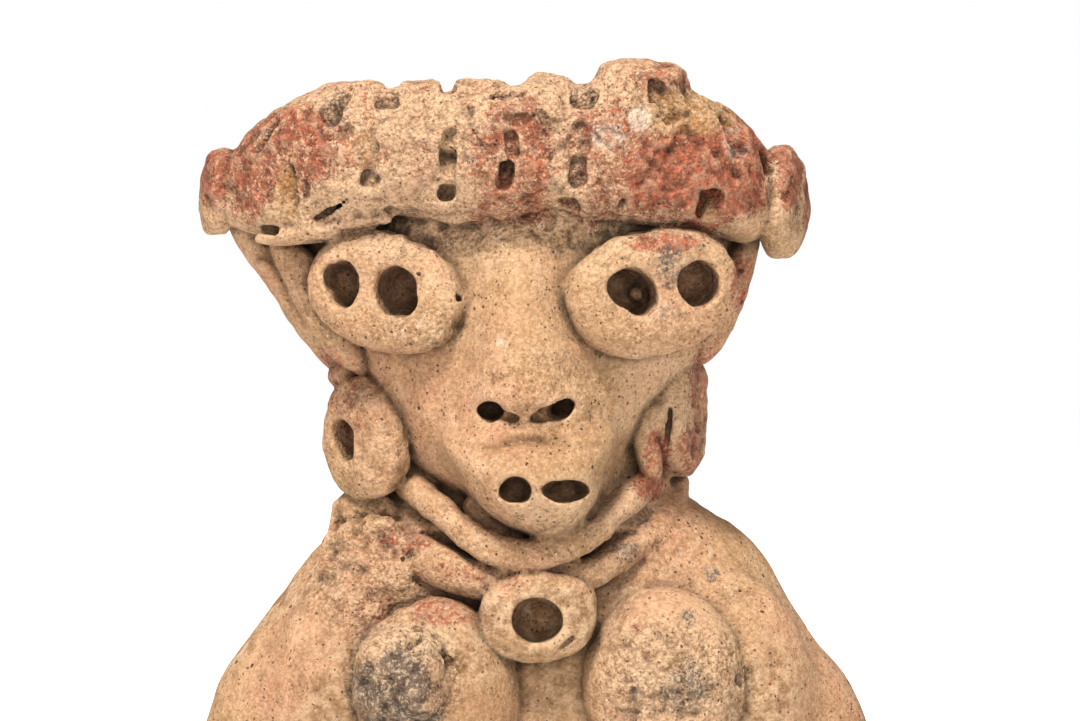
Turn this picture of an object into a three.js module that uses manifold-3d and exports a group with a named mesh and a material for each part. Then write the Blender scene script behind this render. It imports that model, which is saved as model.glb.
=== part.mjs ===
// Bust of a hand-modelled clay fertility figure: coils and pellets pressed onto a solid body, fired as one.
// Millimetres, +Z up, the face looks along -Y. The origin is the middle of the flat cut underneath.
import * as THREE from "three";
import { mergeVertices } from "three/addons/utils/BufferGeometryUtils.js";
import Module from "manifold-3d";

const wasm = await Module();
wasm.setup();

// The body is a free form, so its outlines and the places on it are counted in parts of the bust's height.
const bustHeight = 76;
const partsInHeight = 76;
const part = bustHeight / partsInHeight;

// Pellets, coils and punch marks have sizes of their own. Each size is [across, front to back, up].
const eyePellet = { left: [16.4, 7, 12.4], right: [18, 7, 12.6] };
const earSpool = { left: [9.8, 3.8, 12.7], right: [12.8, 4.4, 13] };
const sideDisc = { left: [7.8, 3, 9], right: [10.5, 4.4, 12] };
const pendantSize = [11.6, 5.6, 9.6];
const breast = { left: [17.2, 14, 18.6], right: [16.8, 13, 19] };
const nippleSize = [9.6, 9, 9.6];
const crestSize = [10.4, 15, 8];
const upperArm = { left: [12, 8, 19], right: [13, 9, 20] };
const upperCoil = { thickness: 3.4, height: { left: 3.5, right: 3.2 } };
const lowerCoil = { thickness: 3.8, height: { left: 4.8, right: 3.2 } };
const eyePunch = { innerLeft: [4.5, 5], outerLeft: [3, 5], innerRight: [5, 4.4], outerRight: [4.5, 4.8] };
const eyePunchDepth = 6.5;
const nostrilPunch = { left: [3.2, 1.7], right: [4.1, 1.8] };
const mouthPunch = { left: [3.4, 2.7], right: [4.5, 2.4] };
const facePunchDepth = 5;
const spoolPunch = [3, 4.4];
const spoolPunchDepth = 3;
const spoolPunchAside = { left: -1.4, right: 0 }; // how far the hole is off the disc's middle
const spoolLap = 1.9; // how far an ear spool overlaps the side of the face
const discLap = { left: 1.5, right: 2.6 }; // how far a side disc overlaps the headdress's end
const pendantPunch = [4.9, 4.5];
const pendantPunchDepth = 4.2;
// How much of a pellet's thickness is pressed into what it sits on.
const sunk = { eye: 0.44, pendant: 0.11, breast: 0.57, nipple: 0.62 };
const spoolTurn = { left: -38, right: 76 }; // degrees round the upright axis
const discTurn = { left: -74, right: 74 };

// Outlines that run upwards: [height, left, right, front, back], in parts.
const torsoOutline = [
  [0, -37, 35.8, -12, 11],
  [6, -35.4, 34.2, -12.5, 11.4],
  [10, -33.9, 33, -12.6, 11.6],
  [14, -32.4, 31, -12.6, 11.6],
  [18, -29.6, 27.9, -12.3, 11.4],
  [22, -26.6, 25.2, -11.8, 11],
  [26, -23.9, 22.8, -10.8, 10.2],
  [29, -21.3, 19.8, -9.8, 9.3],
  [31, -19.6, 16.8, -8.8, 8.4],
  [33, -16.5, 14, -7.5, 7.2],
  [35, -12, 11.5, -5.5, 5.4],
];
const neckOutline = [
  [26, -14, 14.5, -9.5, 9],
  [33, -12.8, 13.3, -9, 8.5],
  [40, -12.6, 12.9, -9, 8.5],
  [48, -12, 12.5, -9, 8.5],
];
const faceOutline = [
  [29.5, -4, 5.5, -11.5, 0],
  [33, -9.4, 7.4, -13, 4],
  [36, -13, 9, -13.6, 7],
  [40, -15.5, 11.6, -14, 9],
  [44, -17.6, 14.8, -14.2, 10.5],
  [48, -19.2, 17.3, -14.2, 11.5],
  [52, -20.3, 18.9, -14, 12],
  [56, -21.3, 20, -13.6, 12.5],
  [60, -22, 20.6, -13, 12.6],
  [64, -21.6, 20.2, -12.4, 12.2],
  [67.5, -19.6, 18.2, -11, 10.8],
  [70, -15.6, 14.2, -8.6, 8.6],
  [71.3, -10.5, 9, -5.6, 5.8],
  [71.8, -4, 2.6, -2, 2],
];
const muzzleOutline = [
  [28.7, -0.6, 2.4, -15.2, -12],
  [29.7, -3, 3.9, -17.2, -9],
  [31.2, -5.2, 5.2, -18.9, -8],
  [33, -6.8, 6, -19.8, -8],
  [35, -8.2, 6.4, -19.8, -8],
  [37.5, -9.8, 7.4, -18.4, -8],
  [40, -9.2, 6.9, -16, -8],
  [43, -7, 4.8, -14, -8],
  [45.5, -4.2, 2.4, -12, -8],
  [48, -2.5, 0.6, -10, -8],
];
const noseOutline = [
  [37.8, -5, 3, -14, -8],
  [39.6, -6.9, 4.4, -17.2, -8],
  [41.6, -7.4, 5, -19, -8],
  [45, -6.6, 3.9, -18.6, -8],
  [50, -6, 2.9, -17.2, -8],
  [55, -5.8, 2.6, -15.8, -8],
  [60, -5.8, 2.6, -13.4, -8],
];
// The headdress runs across: [place to the right, bottom, top, front, back], in parts.
const headdressOutline = [
  [-31.5, 59.5, 66.5, -9, -1],
  [-29, 58.8, 69.4, -11.5, 1],
  [-25, 57.9, 72.1, -14, 1.5],
  [-20, 58.7, 74, -15.8, 1.5],
  [-14, 59.8, 74.3, -17, 1],
  [-7, 59.4, 74.3, -17.6, 1],
  [0, 60, 74.9, -17.8, 1],
  [7, 59.6, 74.9, -17.5, 1],
  [13, 58.8, 74, -16.5, 1.5],
  [18, 58.2, 72.2, -15, 1.5],
  [21.5, 58, 69.2, -12.5, 1.5],
  [23.5, 59, 66, -10, 0],
];
const bodyRoundness = 2.3; // the power of a section's outline: 2 is an ellipse, more is squarer
const faceRoundness = 2.5;
const headdressRoundness = 3;
const noseRoundness = 2;
const muzzleRoundness = 2.2;

// Marks pressed into the headdress: [to the right, up, wide, high, deep, lean in degrees], places in parts.
const pressedSlots = [
  [-9.2, 65.8, 1.7, 6.9, 2.4, 0],
  [-3.4, 64.6, 1.8, 3.4, 2.8, 0],
  [-2.9, 67.8, 1.5, 2.6, 1.2, 0],
  [3.9, 64.8, 1.9, 3, 2.4, 0],
  [3.7, 67.4, 2.3, 3.6, 1.2, 8],
  [3.3, 61.4, 2.2, 1.8, 1.2, 0],
  [17, 61.1, 3, 3.5, 2, 0],
  [-16.8, 64, 2.1, 1.7, 1.4, 20],
  [-20.4, 71.7, 2.9, 4.6, 1.8, 15],
  [-27.9, 68.6, 1.8, 4.2, 1.6, 25],
  [-15.2, 71.9, 2.6, 2, 1.4, 0],
  [4.2, 72.8, 2.6, 2.8, 2.2, 10],
  [11.6, 72.2, 2.4, 4, 3, 0],
  [19.3, 68.7, 2.2, 4.6, 1.5, -12],
  [-25.4, 62.9, 2, 6, 0.9, 0],
];
// Notches across the headdress's top edge: [to the right, bottom, wide], places in parts.
const edgeNotches = [
  [-14.6, 72.8, 2],
  [-9.3, 72.5, 1.7],
  [-2.7, 73.3, 2.6],
  [3.8, 73.3, 2.4],
];
const notchReach = 22;

const radians = THREE.MathUtils.degToRad;

// The value of an outline's column at a place along it, on a smooth curve through its rows.
function along(outline, place, column) {
  const last = outline.length - 1;
  let i = outline.findIndex((row) => row[0] > place);
  i = i < 0 ? last - 1 : Math.max(i - 1, 0);
  const slope = (j) => {
    const a = outline[Math.max(j - 1, 0)];
    const b = outline[Math.min(j + 1, last)];
    return (b[column] - a[column]) / (b[0] - a[0]);
  };
  const [from, to] = [outline[i], outline[i + 1]];
  const step = to[0] - from[0];
  const t = THREE.MathUtils.clamp((place - from[0]) / step, 0, 1);
  const ends = (2 * t ** 3 - 3 * t ** 2) * (from[column] - to[column]) + from[column];
  return ends + step * ((t ** 3 - 2 * t ** 2 + t) * slope(i) + (t ** 3 - t ** 2) * slope(i + 1));
}

// A closed geometry as a solid that can be joined and cut.
function solid(geometry) {
  const bare = new THREE.BufferGeometry();
  bare.setAttribute("position", geometry.getAttribute("position").clone());
  bare.setIndex(geometry.index);
  const merged = mergeVertices(bare, 1e-4);
  const mesh = new wasm.Mesh({
    numProp: 3,
    vertProperties: new Float32Array(merged.attributes.position.array),
    triVerts: new Uint32Array(merged.index.array),
  });
  return new wasm.Manifold(mesh);
}

// Moves every vertex of a geometry to where a function puts it.
function reshape(geometry, place) {
  const points = geometry.getAttribute("position");
  for (let i = 0; i < points.count; i++) {
    points.setXYZ(i, ...place(points.getX(i), points.getY(i), points.getZ(i)));
  }
  return geometry;
}

const signedPower = (value, power) => Math.sign(value) * Math.abs(value) ** power;

// A rounded lump of clay: an ellipsoid whose outline and profile can be squarer. Its face looks along -Y.
function lump(at, size, { turn = 0, lean = 0, outline = 2, profile = 2, sides = 14, rings = 8 } = {}) {
  const [across, deep, up] = size.map((full) => full / 2);
  const geometry = reshape(new THREE.SphereGeometry(1, sides, rings), (x, y, z) => {
    const angle = Math.atan2(z, x);
    const girth = Math.max(1 - y * y, 0) ** (1 / profile);
    return [
      across * girth * signedPower(Math.cos(angle), 2 / outline),
      deep * signedPower(y, 2 / profile),
      up * girth * signedPower(Math.sin(angle), 2 / outline),
    ];
  });
  geometry.rotateY(radians(lean)).rotateZ(radians(turn));
  geometry.translate(...at);
  return solid(geometry);
}

// A form drawn through the sections of an outline, upwards or, with across, from left to right.
function loft(outline, roundness, { across = false, sides = 24, steps = 12 } = {}) {
  const first = outline[0][0];
  const length = outline.at(-1)[0] - first;
  const geometry = reshape(new THREE.CylinderGeometry(1, 1, 1, sides, steps), (x, y, z) => {
    const place = first + (0.5 + 0.5 * Math.sin(y * Math.PI)) * length; // closer rows towards both ends
    const [low, high, front, back] = [1, 2, 3, 4].map((column) => along(outline, place, column));
    const reach = Math.hypot(x, z);
    const angle = Math.atan2(z, x);
    const wide = ((high - low) / 2) * reach * signedPower(Math.cos(angle), 2 / roundness);
    const deep = ((back - front) / 2) * reach * signedPower(Math.sin(angle), 2 / roundness);
    const middle = [(low + high) / 2, (front + back) / 2];
    return (
      across
        ? [place, middle[1] + deep, middle[0] + wide]
        : [middle[0] + wide, middle[1] - deep, place]
    ).map((value) => value * part);
  });
  return solid(geometry);
}

// How far forward an upright outline's surface is at a place on it, in millimetres.
function frontAt(outline, roundness, right, up) {
  const [low, high, front, back] = [1, 2, 3, 4].map((column) => along(outline, up / part, column) * part);
  const share = Math.min(Math.abs((right - (low + high) / 2) / ((high - low) / 2)), 1);
  return (front + back) / 2 - ((back - front) / 2) * (1 - share ** roundness) ** (1 / roundness);
}

// How far forward a pellet's middle lies when a share of its thickness is pressed into the surface.
const seated = (surface, thickness, share) => surface + thickness * (share - 0.5);

// The same as frontAt for the headdress, whose outline runs across.
function headdressFrontAt(right, up) {
  const place = right / part;
  const at = (column) => along(headdressOutline, place, column) * part;
  const [low, high, front, back] = [1, 2, 3, 4].map(at);
  const share = Math.min(Math.abs((up - (low + high) / 2) / ((high - low) / 2)), 1);
  const depth = (1 - share ** headdressRoundness) ** (1 / headdressRoundness);
  return (front + back) / 2 - ((back - front) / 2) * depth;
}

// A coil laid round the neck. Its path passes four points, left, right, front and back, each [reach, height]
// in parts. Sag says how late it falls from a side to the front: a higher power stays level for longer.
function neckCoil({ thickness, height }, { left, right, front, back, sag }) {
  const geometry = reshape(new THREE.TorusGeometry(3, 1, 6, 24), (x, y, z) => {
    const angle = Math.atan2(y, x);
    const [c, s] = [Math.cos(angle), Math.sin(angle)];
    const out = Math.hypot(x, y) - 3;
    const middle = ((left[0] + right[0]) / 2) * part;
    const half = ((right[0] - left[0]) / 2) * part;
    const end = s < 0 ? front : back;
    const blend = (from, to) => THREE.MathUtils.lerp(from, to, (1 + c) / 2);
    const side = blend(left[1], right[1]);
    const level = side + (end[1] - side) * Math.abs(s) ** blend(sag.left, sag.right);
    return [
      middle + (half + (out * thickness) / 2) * c,
      (Math.abs(end[0]) * part + (out * thickness) / 2) * s,
      level * part + (z * blend(height.left, height.right)) / 2,
    ];
  });
  return solid(geometry);
}

const punch = { sides: 10, rings: 5, profile: 5 };

// A hole pushed straight in from the front, to a depth behind the surface there.
function punchHole(right, up, [wide, high], surface, depth, options = {}) {
  return lump([right, surface, up], [wide, depth * 2, high], { ...punch, ...options });
}

// Shoulders, arms and chest are one sloping mass, cut flat underneath, with the neck set into it.
function body() {
  return [
    loft(torsoOutline, bodyRoundness, { sides: 28, steps: 10 }),
    loft(neckOutline, bodyRoundness, { sides: 18, steps: 3 }),
  ];
}

function head() {
  return [
    loft(faceOutline, faceRoundness, { sides: 24, steps: 12 }),
    loft(muzzleOutline, muzzleRoundness, { sides: 18, steps: 9 }),
    loft(noseOutline, noseRoundness, { sides: 14, steps: 7 }),
  ];
}

// An eye: a flattened pellet with two holes punched through it.
function eye(right, up, size, lean, turn, holes) {
  const middle = seated(frontAt(faceOutline, faceRoundness, right, up), size[1], sunk.eye);
  const pellet = lump([right, middle, up], size, { lean, turn, profile: 3, outline: 2.1, sides: 20 });
  const front = middle - size[1] / 2;
  const cuts = holes.map(([x, z, opening]) => punchHole(x, z, opening, front, eyePunchDepth, { turn }));
  return { pellet, cuts };
}

function eyes() {
  const left = eye(-15.3 * part, 52.9 * part, eyePellet.left, 17, -12, [
    [-20 * part, 53.6 * part, eyePunch.outerLeft],
    [-14.2 * part, 52.8 * part, eyePunch.innerLeft],
  ]);
  const right = eye(11.2 * part, 52.7 * part, eyePellet.right, -13, 12, [
    [9.4 * part, 53.1 * part, eyePunch.innerRight],
    [16.3 * part, 53.8 * part, eyePunch.outerRight],
  ]);
  return [left, right];
}

function facePunches() {
  const into = (outline, roundness) => ([right, up, opening]) =>
    punchHole(right, up, opening, frontAt(outline, roundness, right, up), facePunchDepth);
  const nostrils = [[-4.9 * part, 41 * part, nostrilPunch.left], [1.5 * part, 41 * part, nostrilPunch.right]];
  const mouth = [[-2.5 * part, 33.4 * part, mouthPunch.left], [2.5 * part, 33.3 * part, mouthPunch.right]];
  return [
    ...nostrils.map(into(noseOutline, noseRoundness)),
    ...mouth.map(into(muzzleOutline, muzzleRoundness)),
  ];
}

// How far a turned disc reaches sideways from its middle.
const halfSpan = ([across, deep], turn) =>
  (across / 2) * Math.cos(radians(turn)) + (deep / 2) * Math.abs(Math.sin(radians(turn)));

// A punched disc beside the jaw, turned to face outwards, with its hole to one side.
function spool(at, size, turn, lean, aside) {
  const disc = lump(at, size, { turn, lean, profile: 3.5, sides: 16 });
  const [s, c] = [Math.sin(radians(turn)), Math.cos(radians(turn))];
  const mouth = [at[0] + (s * size[1]) / 2 + c * aside, at[1] - (c * size[1]) / 2 + s * aside, at[2]];
  const cut = lump(mouth, [spoolPunch[0], spoolPunchDepth * 2, spoolPunch[1]], { ...punch, turn, lean });
  return { disc, cut };
}

function earSpools() {
  const out = { left: halfSpan(earSpool.left, spoolTurn.left), right: halfSpan(earSpool.right, spoolTurn.right) };
  const left = along(faceOutline, 38.1, 1) * part - out.left + spoolLap;
  const right = along(faceOutline, 41, 2) * part + out.right - spoolLap;
  return [
    spool([left, -6.8 * part, 38.1 * part], earSpool.left, spoolTurn.left, -14, spoolPunchAside.left),
    spool([right, -2.8 * part, 41 * part], earSpool.right, spoolTurn.right, 12, spoolPunchAside.right),
  ];
}

function headdress() {
  const band = loft(headdressOutline, headdressRoundness, { across: true, sides: 20, steps: 17 });
  const crest = lump([10 * part, -9 * part, 72.2 * part], crestSize, { outline: 3.4, profile: 3 });
  const disc = { profile: 3, sides: 16, rings: 7 };
  const out = { left: halfSpan(sideDisc.left, discTurn.left), right: halfSpan(sideDisc.right, discTurn.right) };
  const left = headdressOutline[0][0] * part - out.left + discLap.left;
  const right = headdressOutline.at(-1)[0] * part + out.right - discLap.right;
  return [
    band,
    crest,
    lump([left, -5 * part, 62.9 * part], sideDisc.left, { ...disc, turn: discTurn.left }),
    lump([right, -5.5 * part, 62.1 * part], sideDisc.right, { ...disc, turn: discTurn.right }),
  ];
}

function headdressCuts() {
  const slots = pressedSlots.map(([right, up, wide, high, deep, lean]) =>
    punchHole(right * part, up * part, [wide, high], headdressFrontAt(right * part, up * part), deep, {
      lean,
      outline: 4,
      profile: 3,
      sides: 8,
      rings: 4,
    }),
  );
  const notches = edgeNotches.map(([right, bottom, wide]) => {
    const high = 2 * (bustHeight - bottom * part);
    return lump([right * part, -8 * part, bottom * part + high / 2], [wide, notchReach, high], {
      outline: 4,
      profile: 6,
      sides: 8,
      rings: 4,
    });
  });
  return [...slots, ...notches];
}

// Strips of clay that fall from the headdress's ends to the ears: [right, forward, up, size, lean].
function hairStrips() {
  const strips = [
    [-25.2, -3.5, 52.6, [3.8, 7, 21], -36],
    [-22.2, -6, 51.8, [5, 6, 17.5], -33],
    [-22, -1.5, 56, [7.5, 8, 14], -32],
    [18.9, -3, 52.6, [4.2, 9, 15], 23],
    [11, -7.6, 36.8, [2.8, 4.4, 6.4], -10],
    [11.6, -8, 40, [2.6, 4, 4], 30],
  ];
  return strips.map(([right, forward, up, size, lean]) =>
    lump([right * part, forward * part, up * part], size.map((full) => full * part), {
      lean,
      profile: 2.6,
      sides: 10,
      rings: 6,
    }),
  );
}

function necklace() {
  return [
    neckCoil(upperCoil, {
      left: [-14.2, 34.8],
      right: [11.6, 34.6],
      front: [-14.6, 27.1],
      back: [9, 38],
      sag: { left: 2.2, right: 2.1 },
    }),
    neckCoil(lowerCoil, {
      left: [-17, 28.4],
      right: [13.4, 33.2],
      front: [-13.2, 24],
      back: [9.2, 34.4],
      sag: { left: 1.9, right: 1.15 },
    }),
  ];
}

function pendant() {
  const [right, up] = [-0.2 * part, 20.8 * part];
  const middle = seated(frontAt(torsoOutline, bodyRoundness, right, up), pendantSize[1], sunk.pendant);
  const disc = lump([right, middle, up], pendantSize, { profile: 3.4, outline: 2.3, sides: 18 });
  const face = middle - pendantSize[1] / 2;
  return { disc, cut: punchHole(-0.2 * part, 20.3 * part, pendantPunch, face, pendantPunchDepth) };
}

function breasts() {
  const middle = (right, up, size) =>
    [right, seated(frontAt(torsoOutline, bodyRoundness, right, up), size[1], sunk.breast), up];
  const left = middle(-10.3 * part, 13.1 * part, breast.left);
  const right = middle(12.6 * part, 13.6 * part, breast.right);
  const nippleSeat = seated(left[1] - breast.left[1] / 2, nippleSize[1], sunk.nipple);
  return [
    lump(left, breast.left, { profile: 2.3, sides: 18 }),
    lump(right, breast.right, { profile: 2.3, sides: 18 }),
    lump([-13.5 * part, nippleSeat, 14.9 * part], nippleSize, { turn: -16, profile: 2.4, sides: 16 }),
  ];
}

// The arms hang down beside the breasts, pressed flat against the body.
function arms() {
  return [
    lump([-20 * part, -8 * part, 13 * part], upperArm.left, { rings: 7 }),
    lump([20.5 * part, -8 * part, 14 * part], upperArm.right, { rings: 7 }),
  ];
}

const hanging = pendant();
const sight = eyes();
const spools = earSpools();
const clay = [
  ...body(),
  ...head(),
  ...sight.map((side) => side.pellet),
  ...spools.map((side) => side.disc),
  ...headdress(),
  ...hairStrips(),
  ...necklace(),
  hanging.disc,
  ...breasts(),
  ...arms(),
];
const marks = [
  ...sight.flatMap((side) => side.cuts),
  ...facePunches(),
  ...spools.map((side) => side.cut),
  ...headdressCuts(),
  hanging.cut,
];
const joined = clay.reduce((whole, piece) => whole.add(piece));
const carved = marks.reduce((whole, mark) => whole.subtract(mark), joined);

function meshOf(name, shape, material) {
  const { vertProperties, triVerts } = shape.getMesh();
  const geometry = new THREE.BufferGeometry();
  geometry.setAttribute("position", new THREE.BufferAttribute(vertProperties, 3));
  geometry.setIndex(new THREE.BufferAttribute(triVerts, 1));
  geometry.computeVertexNormals();
  const mesh = new THREE.Mesh(geometry, material);
  mesh.name = name;
  return mesh;
}

const firedClay = new THREE.MeshStandardMaterial({ color: 0xcfa57a, roughness: 0.92, metalness: 0 });
const bust = new THREE.Group();
bust.add(meshOf("figure", carved, firedClay));

export default bust;
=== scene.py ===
# %% [markdown]
# A fired-clay bust of a woman, made by hand. The maker built a solid body, pressed coils and pellets onto
# it for the headdress, eyes, ear spools and necklace, and pushed a round stick in for every hole. The
# whole thing was fired as one piece, so here it is one mesh that stands for the one solid of the model.
# %% Load the model, which fixes every size and place
import math
import time

import bpy
import numpy as np
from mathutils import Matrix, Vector


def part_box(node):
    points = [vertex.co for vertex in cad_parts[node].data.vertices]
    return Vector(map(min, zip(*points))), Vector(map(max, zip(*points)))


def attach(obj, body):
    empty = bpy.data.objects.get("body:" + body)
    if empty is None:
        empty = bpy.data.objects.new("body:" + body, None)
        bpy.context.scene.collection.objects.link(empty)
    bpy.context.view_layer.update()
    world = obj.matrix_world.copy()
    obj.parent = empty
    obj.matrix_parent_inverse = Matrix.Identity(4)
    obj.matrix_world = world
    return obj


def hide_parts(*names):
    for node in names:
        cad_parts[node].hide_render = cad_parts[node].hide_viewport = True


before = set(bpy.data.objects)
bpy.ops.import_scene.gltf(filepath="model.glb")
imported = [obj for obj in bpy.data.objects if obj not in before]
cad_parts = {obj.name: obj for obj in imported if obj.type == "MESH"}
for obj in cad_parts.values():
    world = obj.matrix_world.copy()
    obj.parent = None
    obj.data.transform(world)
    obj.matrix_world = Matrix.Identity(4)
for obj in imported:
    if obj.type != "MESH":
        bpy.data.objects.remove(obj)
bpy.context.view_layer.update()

MM = 0.001
started = time.time()
solid_low, solid_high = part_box("figure")
print("model box in mm:", [round(v / MM, 1) for v in (*solid_low, *solid_high)])

# %% [markdown]
# Soft clay has no edges that stay sharp: where a pellet meets the body, the thumb leaves a fillet. A
# subdivided mesh can't join and fillet forms freely, so the clay is built as a distance field on a grid
# instead. Each form is a formula that says how far a point is from its surface. Joining two forms is
# a soft minimum, cutting is a soft maximum, and the surface is drawn only once, at the end.
# %% The grid of sample points, in millimetres
STEP = 0.27
ROOM = 2.0
FAR = 6.0
low = np.array([v / MM for v in solid_low]) - ROOM
high = np.array([v / MM for v in solid_high]) + ROOM
low[2] = -4 * STEP
COUNT = np.ceil((high - low) / STEP).astype(int) + 1
AXES = [(low[i] + STEP * np.arange(COUNT[i])).astype(np.float32) for i in range(3)]
clay = np.full(tuple(COUNT), FAR, np.float32)
print("grid:", tuple(COUNT), "points,", round(clay.size / 1e6, 1), "million")


# %% [markdown]
# Nothing on a hand-made figure is straight. Smooth noise, made by blending random values of a coarse
# lattice, bends the space that the forms are measured in, so that every outline wanders a little. The
# same noise later roughens the skin. A spline blend keeps it free of creases.
# %% Smooth noise on the grid
def spline_weights(axis, scale, offset):
    place = (AXES[axis] - low[axis]) / scale + offset
    cell = np.floor(place).astype(int)
    t = place - cell
    taps = ((1 - t) ** 3, 3 * t**3 - 6 * t**2 + 4, -3 * t**3 + 3 * t**2 + 3 * t + 1, t**3)
    matrix = np.zeros((len(place), cell.max() + 4), np.float32)
    rows = np.arange(len(place))
    for i, tap in enumerate(taps):
        matrix[rows, cell + i] += tap / 6
    return matrix


def noise(scale, seed):
    """Smooth noise over the whole grid, about -1 to 1, with bumps of that size in millimetres."""
    rng = np.random.default_rng(seed)
    wx, wy, wz = (spline_weights(i, scale, 0.37 * (i + 1)) for i in range(3))
    lattice = rng.uniform(-1, 1, (wx.shape[1], wy.shape[1], wz.shape[1])).astype(np.float32)
    part = np.tensordot(wx, lattice, (1, 0))
    part = np.einsum("ajk,bj->abk", part, wy, optimize=True)
    return 2.4 * np.einsum("abk,ck->abc", part, wz, optimize=True)


wander = [0.3 * noise(7.0, 11 + i) + 0.12 * noise(2.6, 21 + i) for i in range(3)]
ragged = 0.6 * noise(1.2, 31) + 0.5 * noise(0.7, 32)
print("noise made at", round(time.time() - started, 1), "s")


# %% [markdown]
# A form is only worked out in the small block of the grid around it. The helper hands back that
# block's coordinates, already bent by the noise.
# %% A block of the grid, and how forms join
def block(lowest, highest, margin=3.0):
    cut = []
    for i in range(3):
        first = int(np.clip((lowest[i] - margin - low[i]) / STEP, 0, COUNT[i] - 1))
        last = int(np.clip((highest[i] + margin - low[i]) / STEP + 2, 1, COUNT[i]))
        cut.append(slice(first, last))
    return tuple(cut)


def places(cut, bend=1.0):
    x, y, z = np.ix_(*(AXES[i][cut[i]] for i in range(3)))
    return (x + bend * wander[0][cut], y + bend * wander[1][cut], z + bend * wander[2][cut])


def as_distance(value):
    """Turns a formula that is 0 on the surface into a distance, by dividing by how fast it grows."""
    growth = np.sqrt(sum(g * g for g in np.gradient(value, STEP)))
    return np.clip(value / np.maximum(growth, 0.02), -FAR, FAR)


def soft_min(a, b, fillet):
    if fillet <= 0:
        return np.minimum(a, b)
    share = np.clip(0.5 + 0.5 * (b - a) / fillet, 0, 1)
    return b + (a - b) * share - fillet * share * (1 - share)


def join(cut, shape, fillet=0.5):
    clay[cut] = soft_min(clay[cut], shape, fillet)


def carve(cut, shape, fillet=0.3):
    clay[cut] = -soft_min(-clay[cut], shape, fillet)


# %% [markdown]
# Two kinds of form make the whole figure. A lump is an ellipsoid whose outline and profile can be
# squarer, and it makes pellets, discs, breasts and punch marks. A loft is drawn through sections, and
# it makes the torso, head, nose and headdress. Both use the same sizes as the model's solid.
# %% Lumps
def turned(offset, turn, lean):
    """Coordinates in a lump's own frame: turned about the upright axis, then leaning sideways."""
    x, y, z = offset
    a = math.radians(turn)
    x, y = x * math.cos(a) + y * math.sin(a), -x * math.sin(a) + y * math.cos(a)
    a = math.radians(lean)
    return x * math.cos(a) - z * math.sin(a), y, x * math.sin(a) + z * math.cos(a)


def lump(at, size, turn=0.0, lean=0.0, outline=2.0, profile=2.0, bend=1.0, rough=0.0):
    reach = max(size) / 2 * 1.2
    cut = block([v - reach for v in at], [v + reach for v in at])
    points = places(cut, bend)
    x, y, z = turned([points[i] - at[i] for i in range(3)], turn, lean)
    half = [full / 2 for full in size]
    girth = (np.abs(x / half[0]) ** outline + np.abs(z / half[2]) ** outline) ** (1 / outline)
    value = (girth**profile + np.abs(y / half[1]) ** profile) ** (1 / profile) - 1
    shape = as_distance(value.astype(np.float32))
    if rough:
        shape = shape + rough * ragged[cut]
    return cut, shape


# %% Lofts
def column(outline, place, index):
    """A column of an outline at places along it, on a smooth curve through its rows."""
    rows = np.array([row[0] for row in outline], float)
    values = np.array([row[index] for row in outline], float)
    slopes = np.gradient(values, rows)
    i = np.clip(np.searchsorted(rows, place, side="right") - 1, 0, len(rows) - 2)
    step = rows[i + 1] - rows[i]
    t = np.clip((place - rows[i]) / step, 0, 1)
    between = (3 * t**2 - 2 * t**3) * (values[i + 1] - values[i]) + values[i]
    return between + step * ((t**3 - 2 * t**2 + t) * slopes[i] + (t**3 - t**2) * slopes[i + 1])


def loft(outline, roundness, across=False, bend=1.0):
    table = np.array(outline, float)
    side = [table[:, 1].min(), table[:, 2].max()]
    depth = [table[:, 3].min(), table[:, 4].max()]
    run = [table[0, 0], table[-1, 0]]
    box = (run, depth, side) if across else (side, depth, run)
    cut = block([b[0] for b in box], [b[1] for b in box])
    x, y, z = places(cut, bend)
    along, wide = (x, z) if across else (z, x)
    lowest, highest, front, back = (column(outline, along, i) for i in (1, 2, 3, 4))
    u = (wide - (lowest + highest) / 2) / ((highest - lowest) / 2)
    v = (y - (front + back) / 2) / ((back - front) / 2)
    value = (np.abs(u) ** roundness + np.abs(v) ** roundness) ** (1 / roundness) - 1
    shape = as_distance(value.astype(np.float32))
    return cut, np.maximum(shape, np.maximum(run[0] - along, along - run[1]).astype(np.float32))


# %% [markdown]
# The torso is one sloping mass from shoulder to shoulder, flattened front to back like most such
# figures, with the neck set into it. Its outline is the model's: height, left, right, front, back.
# %% Torso and neck
TORSO = [
    (0, -37, 35.8, -12, 11),
    (6, -35.4, 34.2, -12.5, 11.4),
    (10, -33.9, 33, -12.6, 11.6),
    (14, -32.4, 31, -12.6, 11.6),
    (18, -29.6, 27.9, -12.3, 11.4),
    (22, -26.6, 25.2, -11.8, 11),
    (26, -23.9, 22.8, -10.8, 10.2),
    (29, -21.3, 19.8, -9.8, 9.3),
    (31, -19.6, 16.8, -8.8, 8.4),
    (33, -16.5, 14, -7.5, 7.2),
    (35, -12, 11.5, -5.5, 5.4),
]
NECK = [
    (26, -14, 14.5, -9.5, 9),
    (33, -12.8, 13.3, -9, 8.5),
    (40, -12.6, 12.9, -9, 8.5),
    (48, -12, 12.5, -9, 8.5),
]
BODY_ROUNDNESS = 2.3
BELOW_THE_CUT = -4
join(*loft([(BELOW_THE_CUT, *TORSO[0][1:]), *TORSO], BODY_ROUNDNESS), 0)
join(*loft(NECK, BODY_ROUNDNESS), 2.0)

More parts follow.
